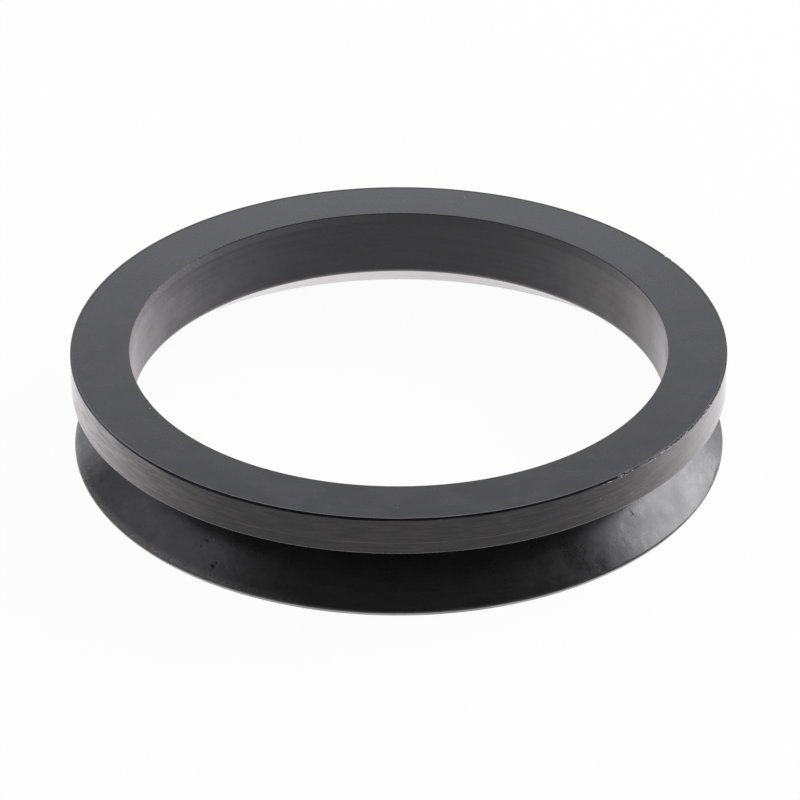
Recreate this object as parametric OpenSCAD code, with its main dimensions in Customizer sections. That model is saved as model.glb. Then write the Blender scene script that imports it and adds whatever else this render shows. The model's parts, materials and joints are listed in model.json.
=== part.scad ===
// V-ring shaft seal, moulded from rubber in one piece, standing on its lip with the flat back on top.
// The whole ring is one section turned about the shaft's axis, which is Z. The lip's edge lies in the plane Z = 0.

/* [Ring] */
// Inside diameter while free: the seal is stretched over a thicker shaft
bore_d = 45; // [36:0.5:60]
// Radial height of the body, from the bore to the outer band
body_h = 5; // [4.25:0.05:6]
// Length of the seat that grips the shaft, back face to heel
seat_len = 5.8; // [5.2:0.1:6.4]
// Overall width while free, back face to lip edge
overall_w = 9.3; // [8.4:0.1:10.4]
// Width of the outer band, back face to groove
band_w = 3.2; // [2.4:0.1:3.8]

/* [Lip] */
// Slope of the lip's underside away from the surface that it seals
lip_angle = 37; // [32:0.5:44]
// Thickness of the lip beside the groove's root
lip_root_t = 1.1; // [0.8:0.05:1.3]
// Thickness of the lip at its square-cut edge
lip_edge_t = 0.6; // [0.4:0.05:0.75]
// Rounding of the lip's outer edge
lip_edge_r = 0.2; // [0.1:0.05:0.3]

/* [Groove] */
// Rubber left between the bore and the point of the V, which is the lip's hinge
hinge_wall = 1.1; // [1:0.1:1.8]
// Rounding in the point of the V
root_r = 0.3; // [0.2:0.05:0.5]

/* [Edges] */
// Rounding of the heel, where the seat turns into the lip's underside
heel_r = 0.6; // [0.4:0.1:1.6]
// Rounding of the bore's edge on the back face
bore_edge_r = 0.06; // [0.04:0.02:0.3]
// Bevel left around the back face where the moulding flash was trimmed
trim_bevel = 0.15; // [0.05:0.05:0.4]
// Rounding of the band's edge over the groove
band_edge_r = 0.1; // [0.06:0.02:0.3]

/* [Hidden] */
$fn = 120;

// Radii and heights of the section's main lines
bore_r = bore_d / 2;
body_r = bore_r + body_h;
heel_z = overall_w - seat_len;
band_low_z = overall_w - band_w;

// The lip's underside runs from the heel down to the sealing edge at Z = 0
seal_edge_r = bore_r + heel_z / tan(lip_angle);
root_at_r = bore_r + hinge_wall;
root_at_z = heel_z - hinge_wall * tan(lip_angle) + lip_root_t / cos(lip_angle);

// Corners of the section as [radius, height], before they are rounded
heel = [bore_r, heel_z];
bore_edge = [bore_r, overall_w];
bevel_top = [body_r - trim_bevel, overall_w];
bevel_low = [body_r, overall_w - trim_bevel];
band_edge = [body_r, band_low_z];
groove_root = [root_at_r, root_at_z];
lip_edge = [seal_edge_r + lip_edge_t * sin(lip_angle), lip_edge_t * cos(lip_angle)];
seal_edge = [seal_edge_r, 0];

// How far a rounding reaches past the faces that it blends, so that they cross and don't just touch
blend_over = 0.0005;

function unit(v) = v / norm(v);

// The piece between a corner and the arc that rounds it, to take off a raised corner or to fill a sunk one.
// It reaches past the corner itself by the rounding's own radius.
module corner_piece(before, corner, after, r) {
    to_before = unit(before - corner);
    to_after = unit(after - corner);
    inward = unit(to_before + to_after);
    half_angle = acos(to_before * to_after) / 2;
    run = r / tan(half_angle);
    centre = corner + inward * r / sin(half_angle);
    difference() {
        polygon([corner - inward * r, corner + to_before * run, centre, corner + to_after * run]);
        translate(centre)
            circle(r = r + blend_over);
    }
}

module section() {
    difference() {
        union() {
            polygon([
                heel,
                bore_edge,
                bevel_top,
                bevel_low,
                band_edge,
                groove_root,
                lip_edge,
                seal_edge
            ]);
            corner_piece(band_edge, groove_root, lip_edge, root_r);
        }
        corner_piece(seal_edge, heel, bore_edge, heel_r);
        corner_piece(heel, bore_edge, bevel_top, bore_edge_r);
        corner_piece(bevel_low, band_edge, groove_root, band_edge_r);
        corner_piece(groove_root, lip_edge, seal_edge, lip_edge_r);
    }
}

module v_ring() {
    color("#47484c")
        rotate_extrude()
            section();
}

v_ring();
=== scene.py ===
"""The looks of a moulded rubber V-ring seal that lies on its lip, with its flat back on top."""
import json
import math
import random
from collections import namedtuple

import bmesh
import bpy
from mathutils import Matrix, Vector, noise


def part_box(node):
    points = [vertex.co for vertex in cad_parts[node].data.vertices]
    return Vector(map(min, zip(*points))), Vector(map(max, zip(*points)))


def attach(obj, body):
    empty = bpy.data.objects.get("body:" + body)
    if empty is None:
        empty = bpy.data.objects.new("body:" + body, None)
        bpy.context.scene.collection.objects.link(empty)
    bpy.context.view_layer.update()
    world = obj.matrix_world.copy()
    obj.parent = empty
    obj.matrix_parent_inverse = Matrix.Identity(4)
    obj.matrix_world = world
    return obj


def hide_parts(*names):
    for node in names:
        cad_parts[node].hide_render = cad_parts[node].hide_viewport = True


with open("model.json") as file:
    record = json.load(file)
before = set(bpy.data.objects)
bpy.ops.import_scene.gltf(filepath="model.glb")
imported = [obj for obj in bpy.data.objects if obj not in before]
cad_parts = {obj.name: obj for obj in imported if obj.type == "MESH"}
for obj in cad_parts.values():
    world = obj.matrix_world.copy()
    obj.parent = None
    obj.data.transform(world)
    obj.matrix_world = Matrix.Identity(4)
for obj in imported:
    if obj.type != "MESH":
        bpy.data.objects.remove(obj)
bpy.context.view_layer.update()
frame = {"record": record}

MM = 0.001
NODE = "v_ring"
BODY = "root"

# Section of the ring: what the frame gives, then the sizes that it shares with the CAD model.
_, ring_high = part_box(NODE)
BODY_R = ring_high.x
OVERALL_W = ring_high.z
BORE_R = frame["record"]["mounts"][0]["dims"]["r_mm"] * MM
SEAT_LEN = 5.8 * MM
BAND_W = 3.2 * MM
LIP_ANGLE = math.radians(37)
LIP_ROOT_T = 1.1 * MM
LIP_EDGE_T = 0.6 * MM
HINGE_WALL = 1.1 * MM
TRIM_BEVEL = 0.15 * MM
LIP_EDGE_R = 0.2 * MM
ROOT_R = 0.3 * MM
HEEL_R = 0.6 * MM
BORE_EDGE_R = 0.06 * MM
BAND_EDGE_R = 0.1 * MM

# Finer forms that only the looks have: a slight lead-in at the bore's edge, a burr along the front of the
# trimmed edge, and a slight fall of the back towards its edge elsewhere.
LEAD_IN_LEN = 1.0 * MM
LEAD_IN_DEPTH = 0.06 * MM
LEAD_IN_R = 1.5 * MM
BURR_H = 0.02 * MM
BURR_W = 0.09 * MM
BURR_WAVE = 1.3 * MM
EDGE_ROLL = 0.01 * MM
FACE_Z = OVERALL_W - BURR_H

# The mould's halves met on the band, and left a step there.
PARTING_Z = 7.06 * MM
PARTING_W = 0.08 * MM
PARTING_STEP = 0.008 * MM

# Corners of the section that follow from those sizes, each as (radius, height).
HEEL_Z = OVERALL_W - SEAT_LEN
SEAL_R = BORE_R + HEEL_Z / math.tan(LIP_ANGLE)
UNDER_ROOT_Z = HEEL_Z - HINGE_WALL * math.tan(LIP_ANGLE)
ROOT_AT = (BORE_R + HINGE_WALL, UNDER_ROOT_Z + LIP_ROOT_T / math.cos(LIP_ANGLE))
LIP_EDGE_AT = (SEAL_R + LIP_EDGE_T * math.sin(LIP_ANGLE), LIP_EDGE_T * math.cos(LIP_ANGLE))

# Fineness of the turned mesh: columns round the ring, and points along a rounding and along each zone.
COLUMN_DEG = 0.9
COLUMN_DIGITS = 4
ARC_STEPS = 6
ZONE_STEPS = {
    "seat": 3,
    "back": 4,
    "trim": 2,
    "band": 3,
    "parting_line": 1,
    "groove": 2,
    "lip": 6,
    "lip_end": 2,
    "underside": 3,
}
# A rounding belongs to the zone that it leads to, unless it has a finish of its own. The band's lower edge
# has one, and its pale colour is a painted highlight.
ARC_ZONES = {"groove": "band_edge"}
# Points this close to each rounding keep the shading of the flat beside it flat.
GUARDS = (0.02 * MM, 0.4 * MM)

# The knife left the trimmed edge wide round one azimuth. It is narrower by a share beyond the ends of the
# wide cut, which are cosines of the angle from there. It is uneven too, and that dies away within a reach
# down the band. The lip's cut edge is a little uneven as well.
TRIM_FRONT = math.radians(-95)
TRIM_NARROW = 0.9
TRIM_ENDS = (math.cos(math.radians(61)), math.cos(math.radians(22)))
TRIM_REACH = 0.6 * MM
TRIM_WANDER = 0.3
TRIM_WAVE = 2.2 * MM
LIP_WANDER = 0.007 * MM
LIP_WAVE = 1.6 * MM

# Each kind of unevenness has a seed of its own, and the gain brings the noise to about -1 to 1.
TRIM_SEED = 3.0
LIP_SEED = 7.0
BURR_SEED = 11.0
NOISE_GAIN = 1.4

# Marks of moulding and handling: azimuth in degrees, (radius, height), size across the section and along the
# ring, and depth, minus for a lump.
Mark = namedtuple("Mark", "azimuth at across along depth")


def on_lip(radius):
    """A point of the lip's upper side at a radius."""
    share = (radius - ROOT_AT[0]) / (LIP_EDGE_AT[0] - ROOT_AT[0])
    return (radius, ROOT_AT[1] + (LIP_EDGE_AT[1] - ROOT_AT[1]) * share)


BACK_EDGE = (BODY_R, OVERALL_W)
BORE_TAG = (BORE_R, OVERALL_W - 0.2 * MM)
MARKS = [
    # A pit in the lip with its tail, and a smaller one by the rim.
    Mark(-124.2, on_lip(26.55 * MM), 0.11 * MM, 0.24 * MM, 0.08 * MM),
    Mark(-123.9, on_lip(26.30 * MM), 0.07 * MM, 0.12 * MM, 0.02 * MM),
    Mark(-123.9, on_lip(27.13 * MM), 0.06 * MM, 0.08 * MM, 0.04 * MM),
    # A scuff on the lip, and a second one below it.
    Mark(-127.8, on_lip(25.27 * MM), 0.06 * MM, 0.26 * MM, 0.03 * MM),
    Mark(-128.3, on_lip(25.72 * MM), 0.16 * MM, 0.05 * MM, 0.02 * MM),
    # Two scratches that cross on the lip.
    Mark(-40.9, on_lip(25.03 * MM), 0.34 * MM, 0.05 * MM, 0.024 * MM),
    Mark(-41.1, on_lip(25.12 * MM), 0.05 * MM, 0.34 * MM, 0.014 * MM),
    # Two nicks in the back's outer edge.
    Mark(32.4, BACK_EDGE, 0.2 * MM, 0.2 * MM, 0.06 * MM),
    Mark(30.2, BACK_EDGE, 0.16 * MM, 0.16 * MM, 0.05 * MM),
    # Two tags of flash at the bore's edge.
    Mark(-155.7, BORE_TAG, 0.22 * MM, 0.22 * MM, -0.07 * MM),
    Mark(-117.8, BORE_TAG, 0.2 * MM, 0.2 * MM, -0.08 * MM),
]

# How a mark shows in the mesh: how far it reaches, in its own sizes, how fast it falls off, the rings of
# points across it, its columns, and how near a stretch of the section passes that has the mark on it.
MARK_REACH = 1.6
MARK_FALL = 2
MARK_RINGS = (-1.6, -1.1, -0.7, -0.35, 0.0, 0.35, 0.7, 1.1, 1.6)
MARK_COLUMN_DEG = 0.09
MARK_STEPS = 5
MARK_ASIDE = 0.02 * MM

# Torn flash on the right of the trimmed edge: short threads between two azimuths, in degrees. A thread lies
# some way down the band, or in from its edge where that is minus.
Thread = namedtuple("Thread", "start end down thick")
FLASH_FROM, FLASH_TO = -51.0, -16.0
FLASH_SEED = 5
THREADS = 110
THREAD_LENGTH = (0.15 * MM, 0.7 * MM)
THREAD_THICK = (0.012 * MM, 0.026 * MM)
THREAD_SPREAD = (-0.09 * MM, 0.15 * MM)
THREAD_STEPS = 14
THREAD_SIDES = 6
THREAD_TAPER = 0.6
# The fin takes the pale crumbs' colour, which is a painted highlight along it.
FIN = Thread(start=-53.1, end=-51.9, down=0.14 * MM, thick=0.024 * MM)

# Places of the flash's two materials in its list.
DULL, PALE = 0, 1

# Crumbs of flash: azimuth in degrees, (radius, height), and size. They are pale unless marked as dull, and
# the pale crumbs' near-white colour is a painted glint.
Crumb = namedtuple("Crumb", "azimuth at size number", defaults=(PALE,))


def on_trim(inward, down):
    """A point by the trimmed edge, in widths of its bevel from where the back and the band would meet."""
    return (BODY_R - inward * TRIM_BEVEL, OVERALL_W - down * TRIM_BEVEL)


CRUMBS = [
    Crumb(-53.9, on_trim(0.0, 1.0), 0.028 * MM),
    Crumb(-50.0, on_trim(0.0, 1.0), 0.060 * MM),
    Crumb(-49.0, on_trim(0.0, 0.9), 0.040 * MM),
    Crumb(-45.3, on_trim(0.0, 1.0), 0.025 * MM),
    Crumb(-41.8, on_trim(0.0, 0.9), 0.070 * MM),
    Crumb(-42.5, on_trim(0.0, 1.2), 0.040 * MM),
    Crumb(-40.4, on_trim(0.0, 0.4), 0.045 * MM),
    Crumb(-39.1, on_trim(0.3, 0.35), 0.050 * MM),
    Crumb(-37.6, on_trim(0.4, 0.3), 0.035 * MM),
    Crumb(-34.0, on_trim(0.4, 0.3), 0.028 * MM),
    Crumb(-54.4, (BODY_R, 7.9 * MM), 0.034 * MM),
    Crumb(-47.4, (BODY_R, 7.1 * MM), 0.032 * MM),
    Crumb(-90.2, (25.8 * MM, FACE_Z), 0.035 * MM, DULL),
    Crumb(77.0, (26.15 * MM, FACE_Z), 0.045 * MM, DULL),
    Crumb(-152.3, (22.95 * MM, FACE_Z), 0.060 * MM, DULL),
    Crumb(-148.4, (22.90 * MM, FACE_Z), 0.040 * MM, DULL),
]
CRUMB_FINENESS = 2
CRUMB_LUMPS = 0.6
CRUMB_LUMP_SCALE = 1.3


def section_corners():
    """The section's sharp corners in order: the zone of the edge that follows, (radius, height), rounding."""
    return [
        ("seat", (BORE_R, HEEL_Z), HEEL_R),
        ("seat", (BORE_R, OVERALL_W - LEAD_IN_LEN), LEAD_IN_R),
        ("back", (BORE_R + LEAD_IN_DEPTH, FACE_Z), BORE_EDGE_R),
        ("back", (BODY_R - TRIM_BEVEL - BURR_W, FACE_Z), 0),
        ("trim", (BODY_R - TRIM_BEVEL, OVERALL_W), 0),
        ("band", (BODY_R - PARTING_STEP, OVERALL_W - TRIM_BEVEL), 0),
        ("parting_line", (BODY_R - PARTING_STEP, PARTING_Z + PARTING_W / 2), 0),
        ("band", (BODY_R, PARTING_Z - PARTING_W / 2), 0),
        ("groove", (BODY_R, OVERALL_W - BAND_W), BAND_EDGE_R),
        ("lip", ROOT_AT, ROOT_R),
        ("lip_end", LIP_EDGE_AT, LIP_EDGE_R),
        ("underside", (SEAL_R, 0.0), 0),
    ]


def rounded(before, corner, after, radius):
    """The points of the arc that rounds a corner, or the corner itself where it stays sharp."""
    corner = Vector(corner)
    if radius == 0:
        return [corner]
    to_before = (Vector(before) - corner).normalized()
    to_after = (Vector(after) - corner).normalized()
    inward = (to_before + to_after).normalized()
    half = to_before.angle(to_after) / 2
    centre = corner + inward * radius / math.sin(half)
    first = corner + to_before * radius / math.tan(half) - centre
    last = corner + to_after * radius / math.tan(half) - centre
    sweep = first.angle_signed(last)
    points = []
    for i in range(ARC_STEPS + 1):
        turn = Matrix.Rotation(-sweep * i / ARC_STEPS, 2)
        points.append(centre + turn @ first)
    return points


def flat_shares(start, end, parts, sharp_start, sharp_end):
    """Where points go along one straight stretch of the section, as shares of its length."""
    length = (end - start).length
    shares = {k / parts for k in range(parts)}
    if parts > 1:
        for guard in GUARDS:
            if not sharp_start:
                shares.add(guard / length)
            if not sharp_end:
                shares.add(1 - guard / length)
        for mark in MARKS:
            along = (Vector(mark.at) - start).dot(end - start) / length
            aside = (Vector(mark.at) - start - (end - start) * along / length).length
            if aside < MARK_ASIDE:
                shares.update((along + ring * mark.across) / length for ring in MARK_RINGS)
    return sorted(share for share in shares if 0 <= share < 1)


SectionPoint = namedtuple("SectionPoint", "at zone sharp outward")


def section_points():
    """The rounded section as a closed list of points, each with the zone of the strip that follows it."""
    corners = section_corners()
    outline = []
    for i, (zone, corner, radius) in enumerate(corners):
        before = corners[i - 1][1]
        after = corners[(i + 1) % len(corners)][1]
        *arc, last = rounded(before, corner, after, radius)
        for point in arc:
            outline.append((point, ARC_ZONES.get(zone, zone), False, 1))
        outline.append((last, zone, radius == 0, ZONE_STEPS[zone]))
    filled = []
    for i, (point, zone, sharp, parts) in enumerate(outline):
        following, _, sharp_end, _ = outline[(i + 1) % len(outline)]
        for share in flat_shares(point, following, parts, sharp, sharp_end):
            filled.append((point.lerp(following, share), zone, sharp and share == 0))
    section = []
    for i, (point, zone, sharp) in enumerate(filled):
        along = filled[(i + 1) % len(filled)][0] - filled[i - 1][0]
        outward = Vector((-along.y, along.x)).normalized()
        section.append(SectionPoint(point, zone, sharp, outward))
    return section


def column_angles():
    """The azimuths of the mesh's columns in radians: evenly round the ring, and closer beside each mark."""
    degrees = {round(i * COLUMN_DEG, COLUMN_DIGITS) for i in range(round(360 / COLUMN_DEG))}
    for mark in MARKS:
        reach = math.degrees(MARK_REACH * mark.along / mark.at[0])
        steps = max(MARK_STEPS, math.ceil(reach / MARK_COLUMN_DEG))
        for i in range(-steps, steps + 1):
            degrees.add(round((mark.azimuth + reach * i / steps) % 360, COLUMN_DIGITS))
    return [math.radians(d) for d in sorted(degrees)]


def around_noise(angle, radius, wave, seed):
    """Smooth noise of about -1 to 1 that closes on itself round the ring."""
    spot = Vector((math.cos(angle) * radius / wave, math.sin(angle) * radius / wave, seed))
    return noise.noise(spot) * NOISE_GAIN


def trimmed_share(angle):
    """How far the knife's wide cut has come at an azimuth, eased from 0 to 1."""
    start, full = TRIM_ENDS
    share = min(max((math.cos(angle - TRIM_FRONT) - start) / (full - start), 0.0), 1.0)
    return share * share * (3 - 2 * share)


def trimmed(at, zone, angle):
    """A point of the trimmed edge or of the band, where the knife left it at an azimuth."""
    front = trimmed_share(angle)
    uneven = 1 + TRIM_WANDER * around_noise(angle, BODY_R, TRIM_WAVE, TRIM_SEED)
    width = uneven * (1 - TRIM_NARROW * (1 - front))
    edge_z = FACE_Z - EDGE_ROLL * (1 - front)
    radius, height = at
    if zone == "trim":
        radius = BODY_R - (BODY_R - radius) * width
    if height < FACE_Z:
        depth = OVERALL_W - height
        fade = max(0.0, 1 - max(0.0, depth - TRIM_BEVEL) / TRIM_REACH)
        height -= fade * (OVERALL_W - edge_z + min(depth, TRIM_BEVEL) * (width - 1))
    else:
        burr = BURR_H * (1 + around_noise(angle, BODY_R, BURR_WAVE, BURR_SEED)) / 2
        height = min(edge_z + burr * front, OVERALL_W)
    return Vector((radius, height))


def worn_point(point, angle):
    """One point of the section at an azimuth, moved by the uneven cuts and by the marks."""
    at = point.at.copy()
    if point.zone in ("trim", "band"):
        at = trimmed(at, point.zone, angle)
    if point.zone == "lip_end":
        at.x -= LIP_WANDER * abs(around_noise(angle, SEAL_R, LIP_WAVE, LIP_SEED))
    for mark in MARKS:
        turn = (angle - math.radians(mark.azimuth) + math.pi) % (2 * math.pi) - math.pi
        far = math.hypot(turn * mark.at[0] / mark.along, (at - Vector(mark.at)).length / mark.across)
        if far < MARK_REACH:
            at -= point.outward * mark.depth * math.exp(-MARK_FALL * far * far)
    return at


def ring_mesh(zones):
    """Turns the section about Z. A strip's material number is the place of its zone in the list."""
    section = section_points()
    count = len(section)
    angles = column_angles()
    vertices = []
    for angle in angles:
        for point in section:
            at = worn_point(point, angle)
            vertices.append((at.x * math.cos(angle), at.x * math.sin(angle), at.y))
    faces = []
    for column in range(len(angles)):
        here = column * count
        there = (column + 1) % len(angles) * count
        for i in range(count):
            k = (i + 1) % count
            faces.append((here + i, here + k, there + k, there + i))
    mesh = bpy.data.meshes.new("v ring rubber")
    mesh.from_pydata(vertices, [], faces)
    for number, polygon in enumerate(mesh.polygons):
        polygon.material_index = zones.index(section[number % count].zone)
        polygon.use_smooth = True
    for edge in mesh.edges:
        a, b = edge.vertices
        edge.use_edge_sharp = a % count == b % count and section[a % count].sharp
    mesh.update()
    return mesh


def ring_place(azimuth, radius, height):
    """A place on the ring, from its azimuth in degrees, its radius and its height."""
    angle = math.radians(azimuth)
    return Vector((radius * math.cos(angle), radius * math.sin(angle), height))


def add_thread(mesh, thread, number):
    """Adds one closed thread of flash that tapers to its ends."""
    rings = []
    for step in range(THREAD_STEPS + 1):
        azimuth = thread.start + (thread.end - thread.start) * step / THREAD_STEPS
        width = thread.thick * math.sin(math.pi * (step + 0.5) / (THREAD_STEPS + 1)) ** THREAD_TAPER
        ring = []
        for side in range(THREAD_SIDES):
            turn = 2 * math.pi * side / THREAD_SIDES
            radius = BODY_R + min(thread.down, 0.0) + width * math.cos(turn)
            height = min(FACE_Z - max(thread.down, 0.0) + width * math.sin(turn), OVERALL_W)
            ring.append(mesh.verts.new(ring_place(azimuth, radius, height)))
        rings.append(ring)
    faces = [mesh.faces.new(rings[0]), mesh.faces.new(reversed(rings[-1]))]
    for here, there in zip(rings, rings[1:]):
        for side in range(THREAD_SIDES):
            k = side - 1
            faces.append(mesh.faces.new((here[k], there[k], there[side], here[side])))
    for face in faces:
        face.material_index = number


def add_crumb(mesh, crumb):
    """Adds one lumpy crumb that is pressed into the rubber."""
    radius, height = crumb.at
    centre = ring_place(crumb.azimuth, radius, height)
    lumps_from = Vector((crumb.azimuth, height / MM, 0))
    made = bmesh.ops.create_icosphere(mesh, subdivisions=CRUMB_FINENESS, radius=crumb.size)
    for vertex in made["verts"]:
        spot = vertex.co / crumb.size * CRUMB_LUMP_SCALE + lumps_from
        vertex.co = centre + vertex.co * (1 + CRUMB_LUMPS * noise.noise(spot))
        vertex.co.z = min(vertex.co.z, OVERALL_W)
        for face in vertex.link_faces:
            face.material_index = crumb.number


def flash_mesh():
    """All the torn flash: the fin, the threads and the crumbs."""
    draw = random.Random(FLASH_SEED)
    mesh = bmesh.new()
    add_thread(mesh, FIN, PALE)
    for _ in range(THREADS):
        start = draw.uniform(FLASH_FROM, FLASH_TO)
        turn = math.degrees(draw.uniform(*THREAD_LENGTH) / BODY_R)
        down = draw.uniform(*THREAD_SPREAD)
        thick = draw.uniform(*THREAD_THICK)
        add_thread(mesh, Thread(start, start + turn, down, thick), DULL)
    for crumb in CRUMBS:
        add_crumb(mesh, crumb)
    bmesh.ops.recalc_face_normals(mesh, faces=mesh.faces)
    for face in mesh.faces:
        face.smooth = True
    flash = bpy.data.meshes.new("torn flash")
    mesh.to_mesh(flash)
    mesh.free()
    return flash


# A Mix node has sockets for every kind of value: these are the ones of its two colours and of its result.
MIX_FIRST, MIX_SECOND, MIX_RESULT = 6, 7, 2

# How fine the noise of each effect is, and which range of it shows.
CLOUD_NOISE = {"Detail": 5.0, "Roughness": 0.6}
CLOUD_RANGE = (0.34, 0.66)
GRAIN_NOISE = {"Detail": 3.0, "Roughness": 0.65}
LINE_NOISE = {"Detail": 3.0, "Roughness": 0.6, "Scale": 1.0}
LINE_RANGE = (0.36, 0.64)
BREAK_NOISE = {"Detail": 4.0, "Roughness": 0.7}
BREAK_RANGE = (0.25, 0.7)


def place(tree, kind, inputs=None, **settings):
    """Adds a node to a tree. An input given as a socket is linked, and any other value is set on the node."""
    node = tree.nodes.new(kind)
    for name, value in settings.items():
        setattr(node, name, value)
    for name, value in (inputs or {}).items():
        if isinstance(value, bpy.types.NodeSocket):
            tree.links.new(value, node.inputs[name])
        else:
            node.inputs[name].default_value = value
    return node


def maths(tree, operation, first, second):
    """One step of arithmetic on two values."""
    return place(tree, "ShaderNodeMath", {0: first, 1: second}, operation=operation).outputs[0]


def ramp(tree, value, low, high, to_low=0.0, to_high=1.0):
    """A value taken smoothly from one range to another and held inside it."""
    inputs = {"Value": value, "From Min": low, "From Max": high, "To Min": to_low, "To Max": to_high}
    return place(tree, "ShaderNodeMapRange", inputs, interpolation_type="SMOOTHSTEP").outputs["Result"]


def noise_at(tree, spot, **inputs):
    """Cloudy noise, from 0 to 1."""
    return place(tree, "ShaderNodeTexNoise", {"Vector": spot, **inputs}).outputs[0]


def blend_colour(tree, factor, first, second):
    """A colour between two others."""
    inputs = {"Factor": factor, MIX_FIRST: first, MIX_SECOND: second}
    return place(tree, "ShaderNodeMix", inputs, data_type="RGBA").outputs[MIX_RESULT]


def on_object(tree):
    """The place on the object, in metres from the ring's own origin."""
    return place(tree, "ShaderNodeTexCoord").outputs["Object"]


def radius_at(tree, spot):
    """How far a place lies from the ring's axis."""
    flat = place(tree, "ShaderNodeVectorMath", {0: spot, 1: (1, 1, 0)}, operation="MULTIPLY").outputs[0]
    return place(tree, "ShaderNodeVectorMath", {0: flat}, operation="LENGTH").outputs["Value"]


def new_group(name, takes, gives):
    """A shader node group with named sockets, and its two end nodes."""
    group = bpy.data.node_groups.new(name, "ShaderNodeTree")
    for label, kind in takes:
        group.interface.new_socket(label, in_out="INPUT", socket_type="NodeSocket" + kind)
    for label, kind in gives:
        group.interface.new_socket(label, in_out="OUTPUT", socket_type="NodeSocket" + kind)
    return group, group.nodes.new("NodeGroupInput").outputs, group.nodes.new("NodeGroupOutput").inputs


def group_in(tree, group, **inputs):
    """Places a group in a material with its own values, and gives its outputs."""
    node = place(tree, "ShaderNodeGroup", node_tree=group)
    for label, value in inputs.items():
        node.inputs[label.replace("_", " ")].default_value = value
    return node.outputs


def make_clouding():
    """Soft patches in which the rubber is a little paler and duller."""
    takes = [("Patch Scale", "Float"), ("Rubber", "Color"), ("Patch", "Color"),
             ("Rubber Roughness", "Float"), ("Patch Roughness", "Float")]
    gives = [("Colour", "Color"), ("Roughness", "Float"), ("Height", "Float")]
    group, given, result = new_group("rubber clouding", takes, gives)
    cloud = noise_at(group, on_object(group), Scale=given["Patch Scale"], **CLOUD_NOISE)
    amount = ramp(group, cloud, *CLOUD_RANGE)
    group.links.new(blend_colour(group, amount, given["Rubber"], given["Patch"]), result["Colour"])
    rough = ramp(group, cloud, *CLOUD_RANGE, given["Rubber Roughness"], given["Patch Roughness"])
    group.links.new(rough, result["Roughness"])
    group.links.new(cloud, result["Height"])
    return group


def make_grain():
    """The fine skin of moulded rubber, as a height."""
    group, given, result = new_group("rubber grain", [("Grain Scale", "Float")], [("Height", "Float")])
    skin = noise_at(group, on_object(group), Scale=given["Grain Scale"], **GRAIN_NOISE)
    group.links.new(skin, result["Height"])
    return group


def make_lines():
    """Fine lines that run round the ring, close together across the surface and long along it."""
    takes = [("Line Scale", "Float"), ("Run Scale", "Float")]
    group, given, result = new_group("lines round the ring", takes, [("Lines", "Float")])
    spot = on_object(group)
    x, y, z = place(group, "ShaderNodeSeparateXYZ", {"Vector": spot}).outputs
    across = maths(group, "SUBTRACT", radius_at(group, spot), z)
    stretched = place(group, "ShaderNodeCombineXYZ", {
        "X": maths(group, "MULTIPLY", x, given["Run Scale"]),
        "Y": maths(group, "MULTIPLY", y, given["Run Scale"]),
        "Z": maths(group, "MULTIPLY", across, given["Line Scale"])})
    streaks = noise_at(group, stretched.outputs[0], **LINE_NOISE)
    group.links.new(ramp(group, streaks, *LINE_RANGE), result["Lines"])
    return group


def make_rim():
    """A mask for a pale rim of wear and painted highlight: it rises from one radius to another, is broken up
    by noise, and fades out across the ring.
    """
    takes = [("Start Radius", "Float"), ("Full Radius", "Float"), ("Fade From", "Float"),
             ("Fade To", "Float"), ("Break Scale", "Float"), ("Evenness", "Float")]
    group, given, result = new_group("rim wear and painted highlight", takes, [("Mask", "Float")])
    spot = on_object(group)
    rise = ramp(group, radius_at(group, spot), given["Start Radius"], given["Full Radius"])
    across = place(group, "ShaderNodeSeparateXYZ", {"Vector": spot}).outputs["X"]
    side = ramp(group, across, given["Fade From"], given["Fade To"], 1.0, 0.0)
    broken = noise_at(group, spot, Scale=given["Break Scale"], **BREAK_NOISE)
    kept = ramp(group, broken, *BREAK_RANGE, given["Evenness"], 1.0)
    patchy = maths(group, "MULTIPLY", rise, kept)
    group.links.new(maths(group, "MULTIPLY", patchy, side), result["Mask"])
    return group


# The waxy bloom that shows at grazing angles: the range of the facing angle over which it comes up, how
# strong it gets, how streaky it is on the left and on the right of the ring, and how patchy it is.
Bloom = namedtuple("Bloom", "start full most streaky patchy")
BLOOM_ROUGHNESS = 0.16
BLOOM_IOR = 2.1
STREAK_FADE = (-8 * MM, 14 * MM)
# With this blend, Layer Weight gives the facing angle as it is.
EVEN_BLEND = 0.5

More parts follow.
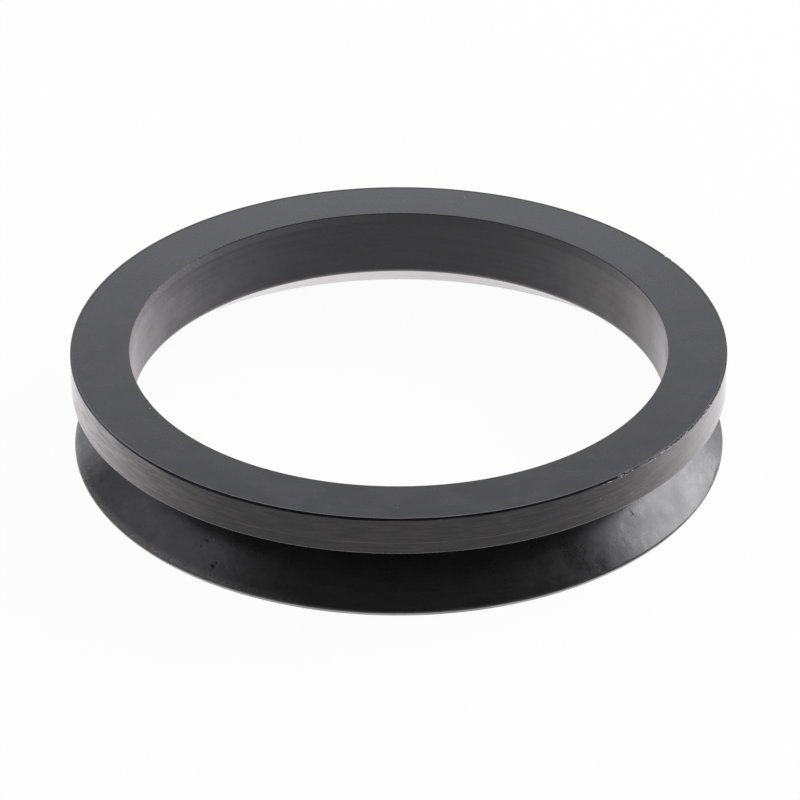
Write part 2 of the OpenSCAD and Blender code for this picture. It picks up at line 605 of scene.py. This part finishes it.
# The finish of a zone. Scales are in cells a metre and depths in metres. A zone without a bloom has None.
Finish = namedtuple("Finish", (
    "rubber patch roughness patch_roughness patch_scale wave_depth grain_scale grain_depth "
    "line_scale run_scale line_depth line_tint specular bloom"))
RUBBER_IOR = 1.5
RUBBER_SPECULAR = 0.5
# A low specular level for the trimmed edge, which paints a crevice's shade there.
CREVICE_SHADE_SPECULAR = 0.12
FINISHES = {
    "seat": Finish(
        rubber=(0.0238, 0.0236, 0.0296), patch=(0.0325, 0.0322, 0.036),
        roughness=0.25, patch_roughness=0.33, patch_scale=300, wave_depth=0.010 * MM,
        grain_scale=5000, grain_depth=0.001 * MM,
        line_scale=2500, run_scale=150, line_depth=0.001 * MM, line_tint=0.15,
        specular=RUBBER_SPECULAR,
        bloom=Bloom(start=0.12, full=0.62, most=0.55, streaky=(0.1, 0.1), patchy=0.45)),
    "back": Finish(
        rubber=(0.0142, 0.0146, 0.0176), patch=(0.0182, 0.0186, 0.0216),
        roughness=0.24, patch_roughness=0.29, patch_scale=320, wave_depth=0.004 * MM,
        grain_scale=6000, grain_depth=0.002 * MM,
        line_scale=1800, run_scale=120, line_depth=0.0, line_tint=0.08,
        specular=RUBBER_SPECULAR, bloom=None),
    # The trimmed edge's dark colour and low specular level are painted shade, standing in for a crevice along
    # the edge.
    "trim": Finish(
        rubber=(0.008, 0.008, 0.008), patch=(0.012, 0.012, 0.012),
        roughness=0.28, patch_roughness=0.34, patch_scale=900, wave_depth=0.010 * MM,
        grain_scale=6000, grain_depth=0.006 * MM,
        line_scale=4000, run_scale=300, line_depth=0.004 * MM, line_tint=0.2,
        specular=CREVICE_SHADE_SPECULAR, bloom=None),
    "band": Finish(
        rubber=(0.0148, 0.0152, 0.0178), patch=(0.0245, 0.0218, 0.0232),
        roughness=0.25, patch_roughness=0.33, patch_scale=420, wave_depth=0.012 * MM,
        grain_scale=5000, grain_depth=0.002 * MM,
        line_scale=5200, run_scale=400, line_depth=0.005 * MM, line_tint=0.5,
        specular=RUBBER_SPECULAR,
        bloom=Bloom(start=0.25, full=0.72, most=1.3, streaky=(0.4, 0.12), patchy=0.1)),
    # The parting line is paler than the band: partly a paler rubber along the step, partly a painted
    # highlight.
    "parting_line": Finish(
        rubber=(0.050, 0.047, 0.046), patch=(0.085, 0.080, 0.078),
        roughness=0.25, patch_roughness=0.33, patch_scale=420, wave_depth=0.012 * MM,
        grain_scale=5000, grain_depth=0.002 * MM,
        line_scale=5200, run_scale=400, line_depth=0.0, line_tint=0.3,
        specular=RUBBER_SPECULAR,
        bloom=Bloom(start=0.25, full=0.72, most=1.3, streaky=(0.2, 0.1), patchy=0.1)),
    # The band's lower edge rounding: its pale colour is a painted highlight along the edge.
    "band_edge": Finish(
        rubber=(0.12, 0.117, 0.115), patch=(0.17, 0.166, 0.163),
        roughness=0.25, patch_roughness=0.33, patch_scale=420, wave_depth=0.004 * MM,
        grain_scale=5000, grain_depth=0.002 * MM,
        line_scale=5200, run_scale=400, line_depth=0.0, line_tint=0.2,
        specular=RUBBER_SPECULAR,
        bloom=Bloom(start=0.25, full=0.72, most=1.3, streaky=(0.1, 0.1), patchy=0.1)),
    "groove": Finish(
        rubber=(0.010, 0.010, 0.010), patch=(0.012, 0.012, 0.012),
        roughness=0.32, patch_roughness=0.36, patch_scale=700, wave_depth=0.004 * MM,
        grain_scale=5000, grain_depth=0.002 * MM,
        line_scale=2500, run_scale=200, line_depth=0.001 * MM, line_tint=0.1,
        specular=RUBBER_SPECULAR, bloom=None),
    "lip": Finish(
        rubber=(0.0120, 0.0120, 0.0132), patch=(0.016, 0.016, 0.0175),
        roughness=0.25, patch_roughness=0.36, patch_scale=450, wave_depth=0.040 * MM,
        grain_scale=5000, grain_depth=0.0005 * MM,
        line_scale=2200, run_scale=240, line_depth=0.0005 * MM, line_tint=0.15,
        specular=RUBBER_SPECULAR, bloom=None),
    "lip_end": Finish(
        rubber=(0.02, 0.019, 0.019), patch=(0.035, 0.034, 0.033),
        roughness=0.34, patch_roughness=0.42, patch_scale=1500, wave_depth=0.006 * MM,
        grain_scale=6000, grain_depth=0.004 * MM,
        line_scale=5000, run_scale=300, line_depth=0.004 * MM, line_tint=0.4,
        specular=RUBBER_SPECULAR,
        bloom=Bloom(start=0.3, full=0.6, most=1.0, streaky=(0.3, 0.3), patchy=0.2)),
    "underside": Finish(
        rubber=(0.014, 0.014, 0.0135), patch=(0.02, 0.02, 0.019),
        roughness=0.2, patch_roughness=0.26, patch_scale=500, wave_depth=0.004 * MM,
        grain_scale=5000, grain_depth=0.001 * MM,
        line_scale=2500, run_scale=150, line_depth=0.001 * MM, line_tint=0.1,
        specular=RUBBER_SPECULAR,
        bloom=Bloom(start=0.3, full=0.65, most=1.0, streaky=(0.0, 0.6), patchy=0.1)),
}

# Pale rims, partly rubbed wear and partly painted highlight on the lip's rim, and painted highlight on the
# bore's edge: the radii from which and to which the pale rim comes up, where across the ring it fades out,
# its colour, how finely it is broken up, and how even it stays where it is broken.
Rim = namedtuple("Rim", "start full fade_from fade_to colour break_scale evenness")
LIP_RIM_WEAR_AND_HIGHLIGHT = (0.28, 0.258, 0.24)
SEAT_EDGE_HIGHLIGHT = (0.13, 0.128, 0.129)
RIMS = {
    # The lip's pale rim on the left of the ring: partly speckled rubbed wear, partly a painted highlight.
    "lip": Rim(
        start=LIP_EDGE_AT[0] - 0.65 * MM, full=LIP_EDGE_AT[0] - 0.1 * MM, fade_from=-22 * MM, fade_to=-4 * MM,
        colour=LIP_RIM_WEAR_AND_HIGHLIGHT, break_scale=5500, evenness=0.0),
    "lip_end": Rim(
        start=SEAL_R - 0.1 * MM, full=SEAL_R + 0.1 * MM, fade_from=-22 * MM, fade_to=-4 * MM,
        colour=LIP_RIM_WEAR_AND_HIGHLIGHT, break_scale=5500, evenness=0.0),
    # The bore edge's pale rim on the left of the ring is a painted highlight.
    "seat": Rim(
        start=BORE_R + 0.05 * LEAD_IN_DEPTH, full=BORE_R + 0.4 * LEAD_IN_DEPTH, fade_from=-24 * MM,
        fade_to=5 * MM, colour=SEAT_EDGE_HIGHLIGHT, break_scale=700, evenness=0.55),
}

# Torn flash is thin, and paler in patches: partly stretched rubber and partly painted glint. The pale crumbs
# are painted near white as glints.
THREAD_DARK = (0.10, 0.10, 0.10, 1)
THREAD_PALE_AND_GLINT = (0.5, 0.5, 0.5, 1)
CRUMB_DARK = (0.5, 0.5, 0.5, 1)
CRUMB_PAINTED_GLINT = (0.85, 0.85, 0.84, 1)
FLASH_ROUGHNESS = 0.32
FLASH_PATCH_ROUGHNESS = 0.42
FLASH_PATCH_SCALE = 3000


def new_material(name):
    """A material, its tree and the shader in it."""
    material = bpy.data.materials.new(name)
    material.use_nodes = True
    return material, material.node_tree, material.node_tree.nodes["Principled BSDF"]


def raised(tree, height, depth, **under):
    """The normal of one layer of relief, over that of the layer under it where there is one."""
    return place(tree, "ShaderNodeBump", {"Height": height, "Distance": depth, **under}).outputs[0]


def bloom_weight(tree, bloom, lines, cloud):
    """How much waxy bloom shows: it comes up at grazing angles, and is streaky and patchy."""
    facing = place(tree, "ShaderNodeLayerWeight", {"Blend": EVEN_BLEND}).outputs["Facing"]
    rise = ramp(tree, facing, bloom.start, bloom.full, 0.0, bloom.most)
    across = place(tree, "ShaderNodeSeparateXYZ", {"Vector": on_object(tree)}).outputs["X"]
    left, right = bloom.streaky
    least = ramp(tree, across, *STREAK_FADE, 1 - left, 1 - right)
    streaks = ramp(tree, lines, 0.0, 1.0, least, 1.0)
    patches = ramp(tree, cloud, *CLOUD_RANGE, 1 - bloom.patchy, 1.0)
    return maths(tree, "MULTIPLY", rise, maths(tree, "MULTIPLY", streaks, patches))


def rubber(name, finish, groups, rim=None):
    """One zone's rubber: clouded colour and gloss, lines round the ring, grain, a pale rim of wear and
    painted highlight, and bloom.
    """
    material, tree, shader = new_material(name)
    shader.inputs["IOR"].default_value = RUBBER_IOR
    shader.inputs["Specular IOR Level"].default_value = finish.specular
    clouds = group_in(
        tree, groups["clouding"], Patch_Scale=finish.patch_scale, Rubber=(*finish.rubber, 1),
        Patch=(*finish.patch, 1), Rubber_Roughness=finish.roughness, Patch_Roughness=finish.patch_roughness)
    lines = group_in(tree, groups["lines"], Line_Scale=finish.line_scale, Run_Scale=finish.run_scale)["Lines"]
    grain = group_in(tree, groups["grain"], Grain_Scale=finish.grain_scale)["Height"]
    shade = ramp(tree, lines, 0.0, 1.0, 1 - finish.line_tint, 1 + finish.line_tint)
    lined = place(tree, "ShaderNodeVectorMath", {0: clouds["Colour"], "Scale": shade}, operation="SCALE")
    colour = lined.outputs[0]
    if rim:
        # A pale rim blended into the colour: a painted highlight, with rubbed wear on the lip.
        rim_wear_and_highlight = group_in(
            tree, groups["rim"], Start_Radius=rim.start, Full_Radius=rim.full, Fade_From=rim.fade_from,
            Fade_To=rim.fade_to, Break_Scale=rim.break_scale, Evenness=rim.evenness)["Mask"]
        colour = blend_colour(tree, rim_wear_and_highlight, colour, (*rim.colour, 1))
    tree.links.new(colour, shader.inputs["Base Color"])
    tree.links.new(clouds["Roughness"], shader.inputs["Roughness"])
    normal = raised(tree, clouds["Height"], finish.wave_depth)
    normal = raised(tree, grain, finish.grain_depth, Normal=normal)
    if finish.line_depth:
        normal = raised(tree, lines, finish.line_depth, Normal=normal)
    tree.links.new(normal, shader.inputs["Normal"])
    if finish.bloom:
        weight = bloom_weight(tree, finish.bloom, lines, clouds["Height"])
        if rim:
            weight = maths(tree, "MULTIPLY", weight, maths(tree, "SUBTRACT", 1.0, rim_wear_and_highlight))
        tree.links.new(weight, shader.inputs["Coat Weight"])
        shader.inputs["Coat Roughness"].default_value = BLOOM_ROUGHNESS
        shader.inputs["Coat IOR"].default_value = BLOOM_IOR
    return material


def flash_rubber(name, groups, dark, pale):
    """Torn flash: thin rubber, paler in patches that are partly stretched rubber and partly painted glint."""
    material, tree, shader = new_material(name)
    clouds = group_in(
        tree, groups["clouding"], Patch_Scale=FLASH_PATCH_SCALE, Rubber=dark, Patch=pale,
        Rubber_Roughness=FLASH_ROUGHNESS, Patch_Roughness=FLASH_PATCH_ROUGHNESS)
    tree.links.new(clouds["Colour"], shader.inputs["Base Color"])
    tree.links.new(clouds["Roughness"], shader.inputs["Roughness"])
    return material


def add_piece(name, mesh, materials):
    """Puts one piece of the seal in the scene, with its materials, on its body."""
    piece = bpy.data.objects.new(name, mesh)
    bpy.context.scene.collection.objects.link(piece)
    for material in materials:
        mesh.materials.append(material)
    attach(piece, BODY)
    return piece


def make_seal():
    """The ring, with one material a zone, and the torn flash on it."""
    groups = {"clouding": make_clouding(), "grain": make_grain(), "lines": make_lines(), "rim": make_rim()}
    materials = []
    for zone, finish in FINISHES.items():
        name = zone.replace("_", " ") + " rubber"
        materials.append(rubber(name, finish, groups, RIMS.get(zone)))
    ring = add_piece("seal_ring", ring_mesh(list(FINISHES)), materials)
    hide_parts(NODE)
    threads = flash_rubber("torn flash rubber", groups, THREAD_DARK, THREAD_PALE_AND_GLINT)
    crumbs = flash_rubber("flash crumb", groups, CRUMB_DARK, CRUMB_PAINTED_GLINT)
    add_piece("torn_flash", flash_mesh(), [threads, crumbs])


# The table as the camera sees it, as it shows in the rubber, and as it takes light and shadow. The glow's
# share is what the camera and the rubber see of the plain colour, and the rest is lit.
WHITE = (1, 1, 1, 1)
TABLE_MIRRORED = (1.0, 0.968, 0.977, 1)
TABLE_MATTE = (0.92, 0.92, 0.92, 1)
TABLE_GLOW = 1.0
TABLE_GLOW_SHARE = 0.96
TABLE_HALF = 1.5


def table_white():
    """The table's material: nearly plain white to the camera and in the rubber, and matte to other light."""
    material = bpy.data.materials.new("white table")
    material.use_nodes = True
    tree = material.node_tree
    tree.nodes.clear()
    matte = place(tree, "ShaderNodeBsdfDiffuse", {"Color": TABLE_MATTE})
    path = place(tree, "ShaderNodeLightPath").outputs
    tint = blend_colour(tree, path["Is Camera Ray"], TABLE_MIRRORED, WHITE)
    glow = place(tree, "ShaderNodeEmission", {"Color": tint, "Strength": TABLE_GLOW})
    mirrored = maths(tree, "MAXIMUM", path["Is Glossy Ray"], path["Is Transmission Ray"])
    seen = maths(tree, "MAXIMUM", path["Is Camera Ray"], mirrored)
    share = maths(tree, "MULTIPLY", seen, TABLE_GLOW_SHARE)
    mix = place(tree, "ShaderNodeMixShader", {"Fac": share, 1: matte.outputs[0], 2: glow.outputs[0]})
    place(tree, "ShaderNodeOutputMaterial", {"Surface": mix.outputs[0]})
    return material


def make_floor():
    """The table that the seal lies on."""
    mesh = bpy.data.meshes.new("floor")
    signs = [(-1, -1), (1, -1), (1, 1), (-1, 1)]
    mesh.from_pydata([(x * TABLE_HALF, y * TABLE_HALF, 0) for x, y in signs], [], [(0, 1, 2, 3)])
    mesh.materials.append(table_white())
    floor = bpy.data.objects.new("floor", mesh)
    bpy.context.scene.collection.objects.link(floor)


# Soft lamps round the ring: name, azimuth from +X and elevation above the table in degrees, distance, width
# and height in metres, radiance and colour.
Panel = namedtuple("Panel", "name azimuth elevation distance width height radiance colour")
PANELS = [
    Panel("back panel", 90, 13.8, 0.7, 1.45, 0.38, 1.6, (0.965, 0.97, 1.04)),
    Panel("upper back panel", 90, 37.5, 0.7, 1.2, 0.2, 0.55, (0.965, 0.97, 1.04)),
    Panel("right softbox", 25, 25, 0.7, 0.54, 0.38, 8.0, (0.99, 0.98, 1.02)),
    Panel("left panel", 173, 35.5, 0.7, 0.64, 0.36, 1.08, (0.97, 0.97, 1.04)),
    Panel("overhead panel", 90, 78, 0.8, 0.6, 0.4, 1.2, (1, 1, 1)),
]
# The room's own light, and its strength to the camera, which sees it white.
ROOM_STRENGTH = 0.16
SEEN_STRENGTH = 1.0


def add_panel(panel):
    """A soft rectangular lamp that faces the ring and is not seen itself."""
    light = bpy.data.lights.new(panel.name, "AREA")
    light.shape = "RECTANGLE"
    light.color = panel.colour
    light.size = panel.width
    light.size_y = panel.height
    light.energy = panel.radiance * math.pi * panel.width * panel.height
    lamp = bpy.data.objects.new(panel.name, light)
    az, el = math.radians(panel.azimuth), math.radians(panel.elevation)
    away = Vector((math.cos(az) * math.cos(el), math.sin(az) * math.cos(el), math.sin(el)))
    lamp.location = away * panel.distance
    lamp.rotation_euler = away.to_track_quat("Z", "Y").to_euler()
    lamp.visible_camera = False
    bpy.context.scene.collection.objects.link(lamp)


def make_light():
    """The room's even light, white to the camera, and the lamps."""
    world = bpy.data.worlds.new("studio")
    world.use_nodes = True
    tree = world.node_tree
    seen = place(tree, "ShaderNodeLightPath").outputs["Is Camera Ray"]
    strength = ramp(tree, seen, 0.0, 1.0, ROOM_STRENGTH, SEEN_STRENGTH)
    background = tree.nodes["Background"]
    background.inputs["Color"].default_value = WHITE
    tree.links.new(strength, background.inputs["Strength"])
    bpy.context.scene.world = world
    for panel in PANELS:
        add_panel(panel)


# Camera, fitted to the photograph.
CAMERA_AT = Vector((0.0, -305.52, 188.03)) * MM
CAMERA_AIM = Vector((0.1, 0.0, 3.622)) * MM
CAMERA_ROLL = math.radians(-0.135)
LENS_MM = 190
SENSOR_MM = 36
CLIP_START = 0.01


def make_camera():
    """The camera, aimed at the ring and rolled a little."""
    data = bpy.data.cameras.new("camera")
    data.lens = LENS_MM
    data.sensor_width = SENSOR_MM
    data.clip_start = CLIP_START
    camera = bpy.data.objects.new("camera", data)
    look = (CAMERA_AIM - CAMERA_AT).to_track_quat("-Z", "Y").to_matrix().to_4x4()
    camera.matrix_world = Matrix.Translation(CAMERA_AT) @ look @ Matrix.Rotation(CAMERA_ROLL, 4, "Z")
    bpy.context.scene.collection.objects.link(camera)
    bpy.context.scene.camera = camera


make_seal()
make_floor()
make_light()
make_camera()
bpy.context.scene.view_settings.view_transform = "Standard"
